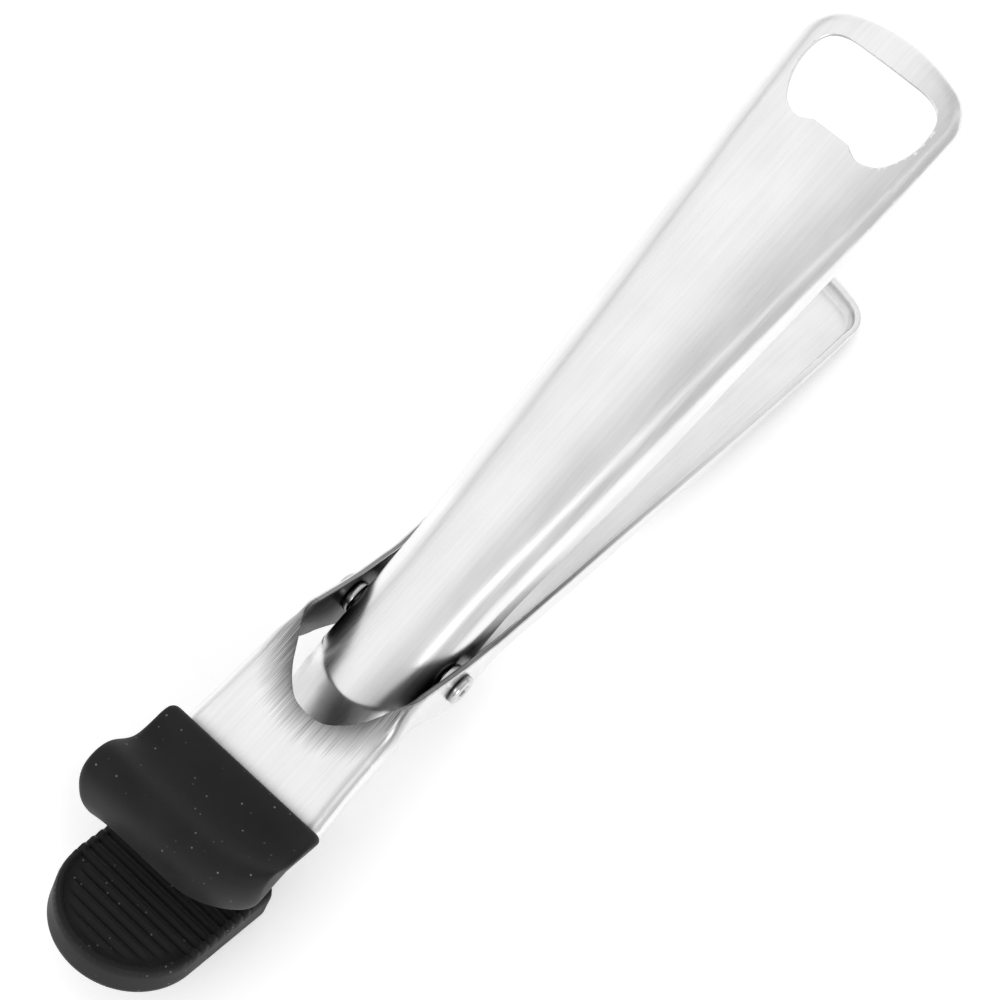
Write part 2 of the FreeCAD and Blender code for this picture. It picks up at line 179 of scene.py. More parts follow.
# Covers
COVER_BACK = -38.6
COVER_HALF = 17.9
FAR_SWEEP = -0.04
NEAR_SWEEP = 0.27
COVER_TAPER = 0.13
COVER_EDGE = 1.3
VALLEY = (-51.0, -40.0)
VALLEY_FADE = 2.4
FAR_RISE = 0.8
FAR_BULGE = 0.04
PAD_HALF = 14.35
PAD_BACK = -47.6
PAD_TIP_CENTRE = -66.9
PAD_THICK = 6.4
PAD_ROUND = 1.5
UNDER_EDGE = 0.5
PAD_LIFT = 3.0
RIBS = 12
RIB_PITCH = 2.2
RIB_TALL = 0.62
RIB_INSET = 3.7


# ---------------------------------------------------------------- small helpers

def curve_at(table, x):
    """Value at x on a smooth curve through the (x, value) pairs."""
    if x <= table[0][0]:
        return table[0][1]
    if x >= table[-1][0]:
        return table[-1][1]
    i = max(k for k in range(len(table)) if table[k][0] <= x)
    (x0, y0), (x1, y1) = table[i], table[i + 1]

    def slope(k):
        if k == 0 or k == len(table) - 1:
            a, b = (0, 1) if k == 0 else (-2, -1)
            return (table[b][1] - table[a][1]) / (table[b][0] - table[a][0])
        return (table[k + 1][1] - table[k - 1][1]) / (table[k + 1][0] - table[k - 1][0])

    t = (x - x0) / (x1 - x0)
    m0, m1 = slope(i) * (x1 - x0), slope(i + 1) * (x1 - x0)
    return ((2 * t ** 3 - 3 * t ** 2 + 1) * y0 + (t ** 3 - 2 * t ** 2 + t) * m0
            + (3 * t ** 2 - 2 * t ** 3) * y1 + (t ** 3 - t ** 2) * m1)


def smooth_step(low, high, value):
    t = min(1.0, max(0.0, (value - low) / (high - low)))
    return t * t * (3 - 2 * t)


def arc(cx, cy, radius, start, end, steps):
    """Points on an arc from one angle to the other, in degrees."""
    angles = [math.radians(start + (end - start) * k / steps) for k in range(steps + 1)]
    return [(cx + radius * math.cos(a), cy + radius * math.sin(a)) for a in angles]


def flowing(points, steps=4):
    """Points on a smooth curve through the given ones."""
    curve = []
    for i in range(len(points) - 1):
        p = [Vector(points[max(0, i - 1)]), Vector(points[i]), Vector(points[i + 1]),
             Vector(points[min(len(points) - 1, i + 2)])]
        for k in range(steps):
            t = k / steps
            spot = 0.5 * (2 * p[1] + (p[2] - p[0]) * t + (2 * p[0] - 5 * p[1] + 4 * p[2] - p[3]) * t ** 2
                          + (3 * p[1] - p[0] - 3 * p[2] + p[3]) * t ** 3)
            curve.append(tuple(spot))
    return curve + [points[-1]]


def spread(low, high, gap):
    count = max(1, round((high - low) / gap))
    return [low + (high - low) * k / count for k in range(count + 1)]


def both_sides(half):
    """A closed outline from its +Y half."""
    return half + [(x, -y) for x, y in reversed(half) if abs(y) > 1e-6]


def add_piece(bm, name, body, material, stands_for=(), smooth=True):
    """Puts a mesh drawn in millimetres about the pivot into the scene, riding on its arm."""
    bm.transform(Matrix.Translation(PIVOT) @ Matrix.Scale(MM, 4))
    for face in bm.faces:
        face.smooth = smooth
    mesh = bpy.data.meshes.new(name)
    bm.to_mesh(mesh)
    bm.free()
    piece = bpy.data.objects.new(name, mesh)
    bpy.context.scene.collection.objects.link(piece)
    mesh.materials.append(material)
    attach(piece, body)
    if stands_for:
        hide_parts(*stands_for)
    return piece


def weigh_normals(piece):
    modifier = piece.modifiers.new("even_shading", "WEIGHTED_NORMAL")
    modifier.mode = "FACE_AREA"
    modifier.weight = 50


# ---------------------------------------------------------------- folded sheet

def cut_lines(bm, axis, places, keep=None):
    """Cuts every face, or those that keep() chooses, along straight lines across one axis."""
    for place in places:
        faces = [f for f in bm.faces if keep is None or keep(f.calc_center_median())]
        edges = {e for f in faces for e in f.edges}
        verts = {v for f in faces for v in f.verts}
        where = Vector((place, 0, 0)) if axis == 0 else Vector((0, place, 0))
        across = Vector((1, 0, 0)) if axis == 0 else Vector((0, 1, 0))
        bmesh.ops.bisect_plane(bm, geom=list(verts) + list(edges) + faces, dist=1e-4,
                               plane_co=where, plane_no=across)


def is_inside(spot, loop):
    """Whether a point of the blank lies inside a closed outline."""
    inside = False
    for (x0, y0), (x1, y1) in zip(loop, loop[1:] + loop[:1]):
        if (y0 > spot.y) != (y1 > spot.y) and spot.x < x0 + (x1 - x0) * (spot.y - y0) / (y1 - y0):
            inside = not inside
    return inside


def flat_blank(outline, holes=()):
    """The sheet before it is bent, with two narrow rings inside its edge for the rounding."""
    bm = bmesh.new()
    layer = bm.verts.layers.float.new("from_edge")
    for loop in (outline, *holes):
        verts = [bm.verts.new((x, y, 0)) for x, y in loop]
        for a, b in zip(verts, verts[1:] + verts[:1]):
            bm.edges.new((a, b))
    bmesh.ops.triangle_fill(bm, use_beauty=True, edges=bm.edges[:])
    waste = [f for f in bm.faces if any(is_inside(f.calc_center_median(), hole) for hole in holes)]
    bmesh.ops.delete(bm, geom=waste, context="FACES_ONLY")
    bmesh.ops.recalc_face_normals(bm, faces=bm.faces[:])
    if bm.faces[:][0].normal.z < 0:
        bmesh.ops.reverse_faces(bm, faces=bm.faces[:])
    inner = bm.faces[:]
    depth = 0.0
    for step in EDGE_RINGS:
        before = set(bm.verts)
        ring = bmesh.ops.inset_region(bm, faces=inner, thickness=step, use_boundary=True,
                                      use_even_offset=True)["faces"]
        depth += step
        for v in bm.verts:
            if v not in before:
                v[layer] = depth
        made = set(ring)
        inner = [f for f in inner if f.is_valid and f not in made]
    for v in {v for f in inner for v in f.verts}:
        v[layer] = EDGE_ROUND
    return bm


def tidy_blank(bm, xs, ys):
    """Drops the fill's own diagonals, so that only the cut lines and the edge rings stay."""
    def on_line(value, lines):
        return any(abs(value - line) < 1e-3 for line in lines)

    layer = bm.verts.layers.float["from_edge"]
    spare = []
    for e in bm.edges:
        if len(e.link_faces) != 2:
            continue
        a, b = e.verts
        if abs(a.co.x - b.co.x) < 1e-3 and on_line(a.co.x, xs):
            continue
        if abs(a.co.y - b.co.y) < 1e-3 and on_line(a.co.y, ys):
            continue
        if a[layer] < EDGE_ROUND - 1e-3 or b[layer] < EDGE_ROUND - 1e-3:
            continue
        if not any(v[layer] < EDGE_ROUND - 1e-3 for f in e.link_faces for v in f.verts):
            spare.append(e)
    bmesh.ops.dissolve_edges(bm, edges=spare, use_verts=False, use_face_split=False)


def fold(bm, place):
    """Gives the blank its thickness and bends it: place(x, y, depth) is a point of the sheet."""
    layer = bm.verts.layers.float["from_edge"]
    blank = bm.verts.layers.float_vector.new("blank")
    for v in bm.verts:
        v[blank] = v.co * MM
    outside = bm.verts[:]
    inside = [g for g in bmesh.ops.extrude_face_region(bm, geom=bm.faces[:], use_keep_orig=True)["geom"]
              if isinstance(g, bmesh.types.BMVert)]
    for group, is_inside in ((outside, False), (inside, True)):
        for v in group:
            away = EDGE_ROUND - min(EDGE_ROUND, max(0.0, v[layer]))
            dip = EDGE_ROUND - math.sqrt(max(0.0, EDGE_ROUND ** 2 - away ** 2))
            v[blank].z = SHEET * MM if is_inside else 0.0
            v.co = Vector(place(v.co.x, v.co.y, SHEET - dip if is_inside else dip))
    bmesh.ops.recalc_face_normals(bm, faces=bm.faces[:])
    return bm


def shoulder(across, half, radius, depth):
    """(sideways, drop) of a sheet that is flat in the middle and turns down at its sides."""
    flat = half - radius
    reach = abs(across)
    side = math.copysign(1.0, across)
    if reach <= flat:
        return across, depth
    if reach <= flat + QUARTER * radius:
        a = (reach - flat) / radius
        return side * (flat + (radius - depth) * math.sin(a)), radius - (radius - depth) * math.cos(a)
    return side * (flat + radius - depth), radius + reach - flat - QUARTER * radius


class PanEnd:
    """A handle's rounded end, whose rim turns down all the way round."""

    def __init__(self, end, end_radius, corner, half, radius):
        self.radius = radius
        self.end_centre = end - end_radius
        self.end_radius = end_radius
        self.corner = corner
        self.corner_y = half - corner
        reach = end_radius - corner
        self.corner_x = self.end_centre + math.sqrt(reach ** 2 - self.corner_y ** 2)
        self.tilt = math.atan2(self.corner_y, self.corner_x - self.end_centre)

    def outline(self, out):
        """Half outline of the flat blank's end, from the side to the middle."""
        grow = out - self.radius
        side = arc(self.corner_x, self.corner_y, self.corner + grow, 90, math.degrees(self.tilt), 14)
        end = arc(self.end_centre, 0, self.end_radius + grow, math.degrees(self.tilt), 0, 14)
        return side + end[1:]

    def place(self, x, y, depth):
        """(x, y, drop) for a point of the blank."""
        side = math.copysign(1.0, y)
        reach = abs(y)
        from_corner = Vector((x - self.corner_x, reach - self.corner_y))
        from_end = Vector((x - self.end_centre, reach))
        angle = math.atan2(from_end.y, from_end.x)
        if angle > self.tilt:
            centre, foot_radius, ray = Vector((self.corner_x, self.corner_y)), self.corner, from_corner
        else:
            centre, foot_radius, ray = Vector((self.end_centre, 0)), self.end_radius, from_end
        if from_corner.x <= 0:
            centre, foot_radius, ray = Vector((x, self.corner_y)), self.corner, Vector((0, from_corner.y))
        length = ray.length
        if ray.y < 0 and from_corner.x <= 0:
            length = -length
        out, drop = shoulder(length, foot_radius, self.radius, depth)
        if length <= foot_radius - self.radius:
            return x, y, depth
        spot = centre + ray.normalized() * out
        return spot.x, side * spot.y, drop


# ---------------------------------------------------------------- materials

def new_material(name):
    material = bpy.data.materials.new(name)
    material.use_nodes = True
    nodes = material.node_tree.nodes
    return material, nodes, material.node_tree.links, nodes["Principled BSDF"]


def ramp(nodes, links, source, low, high, from_low, from_high):
    node = nodes.new("ShaderNodeMapRange")
    links.new(source, node.inputs["Value"])
    node.inputs["From Min"].default_value = from_low
    node.inputs["From Max"].default_value = from_high
    node.inputs["To Min"].default_value = low
    node.inputs["To Max"].default_value = high
    return node.outputs["Result"]


def own_place(nodes):
    return nodes.new("ShaderNodeTexCoord").outputs["Object"]


def flat_place(nodes):
    """The place on the flat sheet before it was folded, so that a pattern follows the bends."""
    blank = nodes.new("ShaderNodeAttribute")
    blank.attribute_name = "blank"
    return blank.outputs["Vector"]


def noise_at(nodes, links, place, scale, detail=6.0):
    mapping = nodes.new("ShaderNodeMapping")
    mapping.inputs["Scale"].default_value = scale
    noise = nodes.new("ShaderNodeTexNoise")
    noise.inputs["Detail"].default_value = detail
    noise.inputs["Scale"].default_value = 1.0
    links.new(place, mapping.inputs["Vector"])
    links.new(mapping.outputs["Vector"], noise.inputs["Vector"])
    return noise.outputs["Fac"]


def joined(nodes, links, operation, first, second):
    """Two values, or a value and a number, put together by a Math node."""
    node = nodes.new("ShaderNodeMath")
    node.operation = operation
    for socket, value in zip(node.inputs, (first, second)):
        if isinstance(value, (int, float)):
            socket.default_value = value
        else:
            links.new(value, socket)
    return node.outputs["Value"]


def brushed_steel(name, edge_fade, window_shade=None):
    """Sheet steel brushed along the handle, with painted shade in its hollows, round an opening and along
    its sheared edges.

    edge_fade is (near shade, far shade) of the painted shade on the sheared edge, from the pivot to the
    tail;
    smudge is (x, radius, reach) of a painted shade ring round an opening, on the flat sheet, standing for
    the dark neck reflected there, and comes with painted shade on the inside of the ears."""
    material, nodes, links, shader = new_material(name)
    place = flat_place(nodes)
    grain = noise_at(nodes, links, place, (90, 6500, 10))
    streaks = noise_at(nodes, links, place, (25, 1500, 10), 3.0)
    clouds = noise_at(nodes, links, place, (26, 70, 10), 3.0)
    patches = noise_at(nodes, links, place, (55, 90, 10), 2.0)
    split = nodes.new("ShaderNodeSeparateXYZ")
    links.new(place, split.inputs["Vector"])
    tone = joined(nodes, links, "MULTIPLY", ramp(nodes, links, streaks, 0.97, 1.02, 0.35, 0.65),
                  ramp(nodes, links, patches, 0.96, 1.02, 0.35, 0.65))
    tone = joined(nodes, links, "MULTIPLY", tone, ramp(nodes, links, grain, 0.97, 1.03, 0.3, 0.7))
    # painted shade: ambient occlusion darkens the steel's colour in hollows, under the handle and round the
    # window
    painted_shade_ao = nodes.new("ShaderNodeAmbientOcclusion")
    painted_shade_ao.samples = 8
    painted_shade_ao.inputs["Distance"].default_value = PAINTED_SHADE_REACH * MM
    painted_hollow_shade = ramp(nodes, links, painted_shade_ao.outputs["AO"], 0.15, 1.0, 0.25, 0.7)
    tone = joined(nodes, links, "MULTIPLY", tone, painted_hollow_shade)
    # the sheared edge lies between the two faces of the sheet; its colour gets painted shade, which fades
    # from the pivot to the tail as edge_fade sets
    rim = joined(nodes, links, "COMPARE", split.outputs["Z"], SHEET * MM / 2)
    rim.node.inputs[2].default_value = SHEET * MM * 0.42
    edge = ramp(nodes, links, split.outputs["X"], *edge_fade, 25 * MM, 80 * MM)
    painted_edge_shade = joined(nodes, links, "MULTIPLY", rim, joined(nodes, links, "SUBTRACT", 1.0, edge))
    tone = joined(nodes, links, "MULTIPLY", tone, joined(nodes, links, "SUBTRACT", 1.0, painted_edge_shade))
    # painted shade on the inner faces of the ears near the pivot, and a painted reflection of the dark neck
    # as a shaded ring round the window
    if window_shade:
        x, radius, reach = window_shade
        inside = joined(nodes, links, "MULTIPLY",
                        ramp(nodes, links, split.outputs["Z"], 0, 1, 0.85 * SHEET * MM, 0.98 * SHEET * MM),
                        ramp(nodes, links, split.outputs["X"], EAR_PAINTED_SHADE, 0, 0, 14 * MM))
        tone = joined(nodes, links, "MULTIPLY", tone, joined(nodes, links, "SUBTRACT", 1.0, inside))
        centre = nodes.new("ShaderNodeVectorMath")
        centre.operation = "DISTANCE"
        flat = nodes.new("ShaderNodeCombineXYZ")
        links.new(split.outputs["X"], flat.inputs["X"])
        links.new(split.outputs["Y"], flat.inputs["Y"])
        links.new(flat.outputs["Vector"], centre.inputs[0])
        centre.inputs[1].default_value = (x * MM, 0, 0)
        away = joined(nodes, links, "ADD", centre.outputs["Value"],
                      ramp(nodes, links, grain, -reach * MM * 0.3, reach * MM * 0.3, 0.3, 0.7))
        painted_ring_shade = ramp(nodes, links, away, WINDOW_PAINTED_SHADE, 1.0, radius * MM, (radius + reach) * MM)
        tone = joined(nodes, links, "MULTIPLY", tone, painted_ring_shade)
    colour = nodes.new("ShaderNodeCombineColor")
    tone = joined(nodes, links, "MULTIPLY", tone, STEEL_SHADE)
    for channel in ("Red", "Green", "Blue"):
        links.new(tone, colour.inputs[channel])
    links.new(colour.outputs["Color"], shader.inputs["Base Color"])
    shader.inputs["Metallic"].default_value = 1.0
    rough = joined(nodes, links, "ADD", ramp(nodes, links, clouds, 0.27, 0.34, 0.3, 0.7),
                   ramp(nodes, links, grain, -0.04, 0.06, 0.3, 0.7))
    links.new(rough, shader.inputs["Roughness"])
    bump = nodes.new("ShaderNodeBump")
    bump.inputs["Strength"].default_value = 0.1
    bump.inputs["Distance"].default_value = 0.00003
    links.new(grain, bump.inputs["Height"])
    links.new(bump.outputs["Normal"], shader.inputs["Normal"])
    return material


def turned_steel(name):
    material, nodes, links, shader = new_material(name)
    wear = noise_at(nodes, links, own_place(nodes), (900, 900, 900), 4.0)
    # painted shade: ambient occlusion darkens the head where it meets the ear and inside its socket; the
    # wear noise is the metal's own tone
    painted_shade_ao = nodes.new("ShaderNodeAmbientOcclusion")
    painted_shade_ao.samples = 8
    painted_shade_ao.inputs["Distance"].default_value = 2.0 * MM
    shade = joined(nodes, links, "MULTIPLY", ramp(nodes, links, wear, 0.55, 0.7, 0.3, 0.7),
                   ramp(nodes, links, painted_shade_ao.outputs["AO"], 0.12, 1.0, 0.3, 0.85))
    colour = nodes.new("ShaderNodeCombineColor")
    for channel in ("Red", "Green", "Blue"):
        links.new(shade, colour.inputs[channel])
    links.new(colour.outputs["Color"], shader.inputs["Base Color"])
    shader.inputs["Metallic"].default_value = 1.0
    links.new(ramp(nodes, links, wear, 0.14, 0.28, 0.3, 0.7), shader.inputs["Roughness"])
    return material


def spring_wire(name):
    material, nodes, links, shader = new_material(name)
    wear = noise_at(nodes, links, own_place(nodes), (1500, 300, 1500), 4.0)
    shader.inputs["Base Color"].default_value = (0.42, 0.42, 0.43, 1)
    shader.inputs["Metallic"].default_value = 1.0
    links.new(ramp(nodes, links, wear, 0.2, 0.4, 0.3, 0.7), shader.inputs["Roughness"])
    return material


def silicone(name):
    """Matte moulded silicone with a fine skin and a little dust on it."""
    material, nodes, links, shader = new_material(name)
    specks = nodes.new("ShaderNodeTexVoronoi")
    specks.inputs["Scale"].default_value = 900.0
    links.new(own_place(nodes), specks.inputs["Vector"])
    chosen = nodes.new("ShaderNodeSeparateColor")
    links.new(specks.outputs["Color"], chosen.inputs["Color"])
    few = ramp(nodes, links, chosen.outputs["Red"], 0, 1, 0.80, 0.88)
    small = ramp(nodes, links, specks.outputs["Distance"], 1, 0, 0.10, 0.2)
    dust = joined(nodes, links, "MULTIPLY", few, small)
    haze = noise_at(nodes, links, own_place(nodes), (160, 160, 160), 5.0)
    body = nodes.new("ShaderNodeMix")
    body.data_type = "RGBA"
    body.inputs["A"].default_value = (0.009, 0.009, 0.0095, 1)
    body.inputs["B"].default_value = (0.014, 0.014, 0.0145, 1)
    links.new(ramp(nodes, links, haze, 0, 1, 0.35, 0.7), body.inputs["Factor"])
    dusty = nodes.new("ShaderNodeMix")
    dusty.data_type = "RGBA"
    dusty.inputs["B"].default_value = (0.16, 0.16, 0.16, 1)
    links.new(dust, dusty.inputs["Factor"])
    links.new(body.outputs["Result"], dusty.inputs["A"])
    # painted shade: ambient occlusion darkens the silicone's colour in the valley and under the lip
    painted_shade_ao = nodes.new("ShaderNodeAmbientOcclusion")
    painted_shade_ao.samples = 8
    painted_shade_ao.inputs["Distance"].default_value = 14.0 * MM
    links.new(dusty.outputs["Result"], painted_shade_ao.inputs["Color"])
    links.new(painted_shade_ao.outputs["Color"], shader.inputs["Base Color"])
    links.new(ramp(nodes, links, haze, 0.48, 0.62, 0.3, 0.7), shader.inputs["Roughness"])
    shader.inputs["Specular IOR Level"].default_value = 0.16
    shader.inputs["Sheen Weight"].default_value = 0.03
    shader.inputs["Sheen Roughness"].default_value = 0.5
    skin = noise_at(nodes, links, own_place(nodes), (2600, 2600, 2600), 3.0)
    bump = nodes.new("ShaderNodeBump")
    bump.inputs["Strength"].default_value = 0.25
    bump.inputs["Distance"].default_value = 0.00005
    links.new(skin, bump.inputs["Height"])
    links.new(bump.outputs["Normal"], shader.inputs["Normal"])
    return material


# ---------------------------------------------------------------- inner lever

def handle_drop_length(u):
    """How far the blank reaches past the flat part at u along the handle."""
    radius = curve_at(HANDLE_SHOULDERS, u)
    return QUARTER * radius + curve_at(HANDLE_DEPTHS, u) - radius


def handle_edge(u, drop=None):
    half = curve_at(HANDLE_WIDTHS, u)
    radius = curve_at(HANDLE_SHOULDERS, u)
    wall = handle_drop_length(u) if drop is None else QUARTER * radius + drop - radius
    return (u, half - radius + wall)


def filleted(points, radii, run):
    """Point and direction at a distance along a line with rounded corners, in (x, z)."""
    left = run
    here = Vector(points[0])
    for i in range(1, len(points)):
        corner = Vector(points[i])
        along = (corner - here).normalized()
        if i == len(points) - 1:
            return here + along * left, along
        after = (Vector(points[i + 1]) - corner).normalized()
        turn = along.angle_signed(after)
        cut = radii[i] * math.tan(abs(turn) / 2)
        straight = (corner - here).length - cut
        if left <= straight:
            return here + along * left, along
        left -= straight
        bend = radii[i] * abs(turn)
        start = corner - along * cut
        sign = 1 if turn > 0 else -1
        centre = start + Vector((along.y, -along.x)) * sign * radii[i]
        if left <= bend:
            a = -sign * left / radii[i]
            turned = Matrix.Rotation(a, 2)
            return centre + turned @ (start - centre), turned @ along
        left -= bend
        here = corner + after * cut
    return here, along


def inner_place(u, y, depth):
    """A point of the inner lever's sheet, u along it from the pivot towards the tail."""
    end = INNER_END
    half = curve_at(HANDLE_WIDTHS, u)
    radius = curve_at(HANDLE_SHOULDERS, u)
    if u > end.corner_x:
        u, side, drop = end.place(u, y, depth)
    else:
        bent = smooth_step(CREST - 0.5, CREST + 4.5, u)
        side, drop = shoulder(y, half, radius, depth)
        side, drop = y + (side - y) * bent, depth + (drop - depth) * bent
    crown = CROWN * min(1.0, (side / (curve_at(HANDLE_WIDTHS, u) - radius * 0.4)) ** 2)
    tangent = Vector((math.cos(RISE), math.sin(RISE)))
    normal = Vector((-math.sin(RISE), math.cos(RISE)))
    foot = Vector((0, HANDLE_TOP))
    crest_u = CREST + CREST_SWEEP * (side / NECK_HALF) ** 2
    far = foot + tangent * FAR_RUN - normal * crown
    crest = foot + tangent * crest_u - normal * (crown + 0.5 * (side / NECK_HALF) ** 2)
    knee = Vector(KNEE)
    tip = knee + Vector((-math.cos(JAW_SLOPE), math.sin(JAW_SLOPE))) * JAW_RUN
    spot, along = filleted([far, crest, knee, tip], [0, CREST_ROUND, KNEE_ROUND, 0], FAR_RUN - u)
    up = Vector((along.y, -along.x))
    spot = spot - up * drop
    return spot.x, side, spot.y


INNER_END = PanEnd(HANDLE_END, HANDLE_END_RADIUS, HANDLE_CORNER, END_HALF, END_SHOULDER)


def build_inner_lever(material):
    tail = INNER_END.outline(QUARTER * END_SHOULDER + END_DEPTH - END_SHOULDER)
    half = list(reversed(tail))
    side = [handle_edge(u) for u in (126, 119, 112, 104, 97, 88, 80, 72, 65, 60, 55, 45, 35, 25, 17)]
    lug = [handle_edge(u, drop) for u, drop in (
        (12, 11.2), (8, 11.9), (5, LUG_DROP), (-1, LUG_DROP), (-4, 11.8), (-6.8, 10.6), (-9.2, 8.4),
        (-11.0, 6.0), (-12.2, 3.6))]
    neck = [(-13.4, NECK_HALF + 0.5), (-15.0, NECK_HALF), (-30.0, NECK_HALF), (-38.0, NECK_HALF + 0.2),
            (JAW_START, JAW_HALF)]
    jaw_end = JAW_START - JAW_LENGTH
    jaw = arc(jaw_end + JAW_CORNER, JAW_HALF - JAW_CORNER, JAW_CORNER, 90, 180, 10)
    outline = both_sides(half + side + lug + neck + jaw + [(jaw_end, 0)])
    hole = both_sides([(TOOTH, 0.0)] + flowing(OPENER_SIDE) + [(OPENER_FAR, 0.0)])
    pin_drop = HANDLE_TOP * math.cos(RISE)
    pin_u = -HANDLE_TOP * math.sin(RISE)
    holes = [hole]
    for sign in (1, -1):
        y = handle_edge(pin_u, pin_drop)[1]
        holes.append(arc(pin_u, sign * y, BARREL + PIN_CLEAR, 0, 345, 23))
    bm = flat_blank(outline, holes)
    xs = (spread(jaw_end, -50, 4.0) + spread(-48, -34, 0.8) + spread(-33, -19, 1.4)
          + spread(-18.4, -9, 0.35) + spread(-8, 112, 2.5) + spread(113, HANDLE_END + 5, 0.7))
    ys = spread(-30, 30, 0.75)
    cut_lines(bm, 0, xs)
    cut_lines(bm, 1, ys)
    tidy_blank(bm, xs, ys)
    fold(bm, inner_place)
    piece = add_piece(bm, "upper_handle_lever", INNER_ARM, material, ["inner_lever"])
    weigh_normals(piece)


# ---------------------------------------------------------------- outer lever

OUTER_END = PanEnd(TAIL, TAIL_RADIUS, TAIL_CORNER, TAIL_HALF, TROUGH_SHOULDER)


def trough_radius(x):
    """The floor's bends start tight beside the ears."""
    return TIGHT_SHOULDER + (TROUGH_SHOULDER - TIGHT_SHOULDER) * smooth_step(SEAM, 14.0, x)


def trough_place(x, y, depth):
    floor = curve_at(TROUGH_FLOOR, x)
    if x > OUTER_END.corner_x:
        x, side, rise = OUTER_END.place(x, y, depth)
    else:
        side, rise = shoulder(y, curve_at(TROUGH_WIDTHS, x), trough_radius(x), depth)
    return x, side, floor + rise


def trough_edge(x, z=None):
    top = curve_at(TROUGH_RIM, x) if z is None else z
    radius = trough_radius(x)
    wall = QUARTER * radius + top - curve_at(TROUGH_FLOOR, x) - radius
    return (x, curve_at(TROUGH_WIDTHS, x) - radius + wall)


def plate_place(x, y, depth):
    side, drop = shoulder(y, curve_at(PLATE_WIDTHS, x), PLATE_SHOULDER, depth)
    rise = curve_at(SIDE_RISE, x) * smooth_step(8.0, 12.4, abs(y))
    return x, side, curve_at(PLATE_TOP, x) + rise - drop


def plate_edge(x, z):
    top = curve_at(PLATE_TOP, x) + curve_at(SIDE_RISE, x)
    wall = QUARTER * PLATE_SHOULDER + top - z - PLATE_SHOULDER
    return (x, curve_at(PLATE_WIDTHS, x) - PLATE_SHOULDER + wall)


def open_seam(bm):
    """Opens a half of the lever where the other half carries on."""
    walls = [f for f in bm.faces if all(abs(v.co.x - SEAM) < 1e-3 for v in f.verts)]
    bmesh.ops.delete(bm, geom=walls, context="FACES_ONLY")


def even_seam(bm):
    """Leaves the same points on the seam of either half."""
    on_seam = [v for v in bm.verts if abs(v.co.x - SEAM) < 1e-3 and len(v.link_edges) == 2]
    spare = [v for v in on_seam if all(abs(e.other_vert(v).co.x - SEAM) < 1e-3 for e in v.link_edges)]
    bmesh.ops.dissolve_verts(bm, verts=spare)


def trim(bm, keep_back):
    bmesh.ops.bisect_plane(bm, geom=bm.verts[:] + bm.edges[:] + bm.faces[:], dist=1e-4,
                           plane_co=(SEAM, 0, 0), plane_no=(1, 0, 0),
                           clear_inner=keep_back, clear_outer=not keep_back)


def trough_half():
    tail = OUTER_END.outline(QUARTER * TROUGH_SHOULDER + TAIL_RIM - TROUGH_SHOULDER)
    side = [trough_edge(x) for x in (112, 100, 86, 70, 55, 40, 26, 18, 13.4, 10.8, 8.2)]
    side += [trough_edge(SEAM, SEAM_TOP), trough_edge(3.1, 4.1)]
    low = trough_edge(SEAM, SEAM_BOTTOM)[1]
    front = [(3.1, low), (SEAM, low), (6.6, 12.6), (8.2, 10.6), (9.2, 8.0), (9.6, 0.0)]
    outline = both_sides(list(reversed(tail)) + side + front)
    bm = flat_blank(outline)
    trim(bm, True)
    xs = spread(SEAM, 104, 2.4) + spread(105, 128, 0.6)
    ys = spread(-30, 30, 0.7)
    cut_lines(bm, 0, xs[1:])
    wall_foot = low + EDGE_ROUND
    cut_lines(bm, 1, [-wall_foot, wall_foot], keep=lambda c: c.x < SEAM + 2)
    cut_lines(bm, 1, ys, keep=lambda c: c.x > SEAM + 2 or abs(c.y) < wall_foot)
    tidy_blank(bm, xs, ys + [-wall_foot, wall_foot])
    even_seam(bm)
    fold(bm, trough_place)
    open_seam(bm)
    return bm


def plate_half():
    window = flowing(WINDOW)
    top = [plate_edge(x, z) for x, z in EAR_TOP]
    bottom = [plate_edge(x, z) for x, z in EAR_BOTTOM]
    tip = arc(PLATE_END + PLATE_CORNER, curve_at(PLATE_WIDTHS, PLATE_END) - PLATE_CORNER, PLATE_CORNER,
              90, 180, 8)
    outline = both_sides(window + top + bottom + tip + [(PLATE_END, 0.0)])
    bm = flat_blank(outline)
    trim(bm, False)
    xs = (spread(PLATE_END, -44, 1.2) + spread(-43, -28, 1.5) + spread(-27, -9, 0.6)
          + spread(-8, SEAM - 0.6, 1.6))
    ys = spread(-30, 30, 0.7)
    cut_lines(bm, 0, xs)
    wall_foot = plate_edge(SEAM, SEAM_BOTTOM)[1] - EDGE_ROUND
    cut_lines(bm, 1, ys, keep=lambda c: c.x < -9)
    cut_lines(bm, 1, [-wall_foot, wall_foot], keep=lambda c: c.x > SEAM - 0.6)
    tidy_blank(bm, xs, ys + [-wall_foot, wall_foot])
    even_seam(bm)
    fold(bm, plate_place)
    open_seam(bm)
    return bm


def build_outer_lever(material):
    bm = trough_half()
    front = plate_half()
    spare = bpy.data.meshes.new("spare")
    front.to_mesh(spare)
    front.free()
    bm.from_mesh(spare)
    bpy.data.meshes.remove(spare)
    on_seam = [v for v in bm.verts if abs(v.co.x - SEAM) < 0.05]
    bmesh.ops.remove_doubles(bm, verts=on_seam, dist=0.04)
    loose = [e for e in bm.edges if e.is_wire]
    bmesh.ops.delete(bm, geom=loose, context="EDGES")
    bmesh.ops.recalc_face_normals(bm, faces=bm.faces[:])
    piece = add_piece(bm, "lower_handle_lever", OUTER_ARM, material, ["outer_lever"])
    weigh_normals(piece)


# ---------------------------------------------------------------- jaw covers

